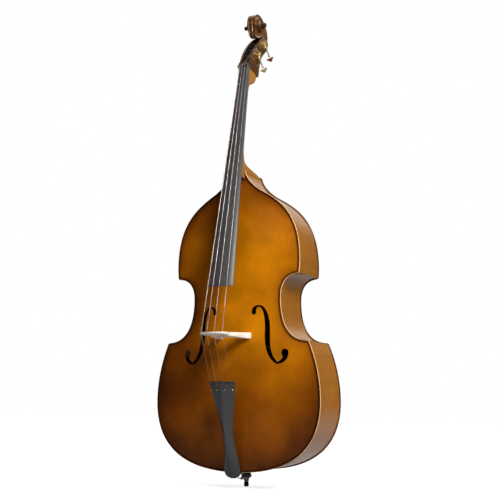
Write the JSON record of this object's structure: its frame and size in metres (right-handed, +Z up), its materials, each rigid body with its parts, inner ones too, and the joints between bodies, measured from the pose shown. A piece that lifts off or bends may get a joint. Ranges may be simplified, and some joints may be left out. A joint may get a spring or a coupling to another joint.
{
  "type": "double bass",
  "caption": "Upright double bass with arched plates, f-holes, carved scroll, fingerboard, bridge, tailpiece, geared tuners and a sliding endpin.",
  "frame": {"origin": "centre of the flat under the endpin's rubber tip, on the floor, with the endpin pushed in", "axes": "+Z up along the body, the front faces -Y, +X towards the thin-string side"},
  "size_m": [0.672, 0.4058, 1.859],
  "materials": {
    "front_varnish": "high-gloss amber varnish, shaded from honey in the middle to dark brown at the edge",
    "back_varnish": "high-gloss reddish-brown varnish over flamed maple",
    "rib_varnish": "high-gloss reddish-brown varnish over flamed maple",
    "bare_spruce": "unvarnished",
    "neck_maple": "thin satin finish on the handle, brown gloss varnish on the pegbox and scroll",
    "fingerboard_black": "blackened hardwood, satin",
    "ebony_black": "polished",
    "bare_maple": "unvarnished",
    "tailpiece_black": "blackened hardwood, satin",
    "tail_cord_black": "twisted cord",
    "chromed_steel": "polished",
    "black_rubber": "matt",
    "string_steel": "flat-wound",
    "tuner_brass": "polished"
  },
  "bodies": {
    "instrument": {"top_plate": "front_varnish", "back_plate": "back_varnish", "upper_rib_left": "rib_varnish", "upper_rib_right": "rib_varnish", "middle_rib_left": "rib_varnish", "middle_rib_right": "rib_varnish", "lower_rib_left": "rib_varnish", "lower_rib_right": "rib_varnish", "neck_block": "bare_spruce", "tail_block": "bare_spruce", "upper_corner_block_left": "bare_spruce", "upper_corner_block_right": "bare_spruce", "lower_corner_block_left": "bare_spruce", "lower_corner_block_right": "bare_spruce", "linings": "bare_spruce", "bass_bar": "bare_spruce", "sound_post": "bare_spruce", "neck": "neck_maple", "fingerboard": "fingerboard_black", "nut": "ebony_black", "saddle": "ebony_black", "bridge": "bare_maple", "tailpiece": "tailpiece_black", "tail_cord": "tail_cord_black", "endpin_plug": "ebony_black", "endpin_collar": "chromed_steel", "string_e": "string_steel", "string_a": "string_steel", "string_d": "string_steel", "string_g": "string_steel", "tuner_plate_e": "tuner_brass", "tuner_plate_a": "tuner_brass", "tuner_plate_d": "tuner_brass", "tuner_plate_g": "tuner_brass", "plate_screws": "tuner_brass"},
    "key_e": {"worm_shaft_e": "tuner_brass", "key_button_e": "tuner_brass"},
    "drum_e": {"roller_e": "tuner_brass", "worm_wheel_e": "tuner_brass", "wheel_screw_e": "tuner_brass"},
    "key_a": {"worm_shaft_a": "tuner_brass", "key_button_a": "tuner_brass"},
    "drum_a": {"roller_a": "tuner_brass", "worm_wheel_a": "tuner_brass", "wheel_screw_a": "tuner_brass"},
    "key_d": {"worm_shaft_d": "tuner_brass", "key_button_d": "tuner_brass"},
    "drum_d": {"roller_d": "tuner_brass", "worm_wheel_d": "tuner_brass", "wheel_screw_d": "tuner_brass"},
    "key_g": {"worm_shaft_g": "tuner_brass", "key_button_g": "tuner_brass"},
    "drum_g": {"roller_g": "tuner_brass", "worm_wheel_g": "tuner_brass", "wheel_screw_g": "tuner_brass"},
    "endpin": {"endpin_rod": "chromed_steel", "endpin_tip": "black_rubber"},
    "clamp_screw": {"thumb_screw": "chromed_steel"}
  },
  "joints": [
    {"name": "key_e_turn", "type": "hinge", "parent": "instrument", "child": "key_e", "pos_m": [-0.0345, -0.03306, 1.60992], "axis": [0, 0.8, -0.6], "continuous": true},
    {"name": "drum_e_turn", "type": "hinge", "parent": "instrument", "child": "drum_e", "pos_m": [-0.0095, -0.0225, 1.624], "axis": [1, 0, 0], "continuous": true},
    {"name": "key_a_turn", "type": "hinge", "parent": "instrument", "child": "key_a", "pos_m": [-0.0345, 0.02394, 1.69092], "axis": [0, 0.8, -0.6], "continuous": true},
    {"name": "drum_a_turn", "type": "hinge", "parent": "instrument", "child": "drum_a", "pos_m": [-0.0095, 0.0345, 1.705], "axis": [1, 0, 0], "continuous": true},
    {"name": "key_d_turn", "type": "hinge", "parent": "instrument", "child": "key_d", "pos_m": [0.0345, 0.05354, 1.72492], "axis": [0, 0.8, -0.6], "continuous": true},
    {"name": "drum_d_turn", "type": "hinge", "parent": "instrument", "child": "drum_d", "pos_m": [0.0095, 0.0641, 1.739], "axis": [1, 0, 0], "continuous": true},
    {"name": "key_g_turn", "type": "hinge", "parent": "instrument", "child": "key_g", "pos_m": [0.0345, -0.00446, 1.65792], "axis": [0, 0.8, -0.6], "continuous": true},
    {"name": "drum_g_turn", "type": "hinge", "parent": "instrument", "child": "drum_g", "pos_m": [0.0095, 0.0061, 1.672], "axis": [1, 0, 0], "continuous": true},
    {"name": "endpin_slide", "type": "slide", "parent": "instrument", "child": "endpin", "axis": [0, 0, -1], "range_m": [0, 0.28]},
    {"name": "clamp_screw_turn", "type": "hinge", "parent": "instrument", "child": "clamp_screw", "pos_m": [-0.0205, 0, 0.028], "axis": [-1, 0, 0], "range_deg": [0, 360]}
  ],
  "couplings": [
    {"joint": "drum_e_turn", "follows": "key_e_turn", "ratio": 0.05},
    {"joint": "drum_a_turn", "follows": "key_a_turn", "ratio": 0.05},
    {"joint": "drum_d_turn", "follows": "key_d_turn", "ratio": -0.05},
    {"joint": "drum_g_turn", "follows": "key_g_turn", "ratio": -0.05}
  ]
}
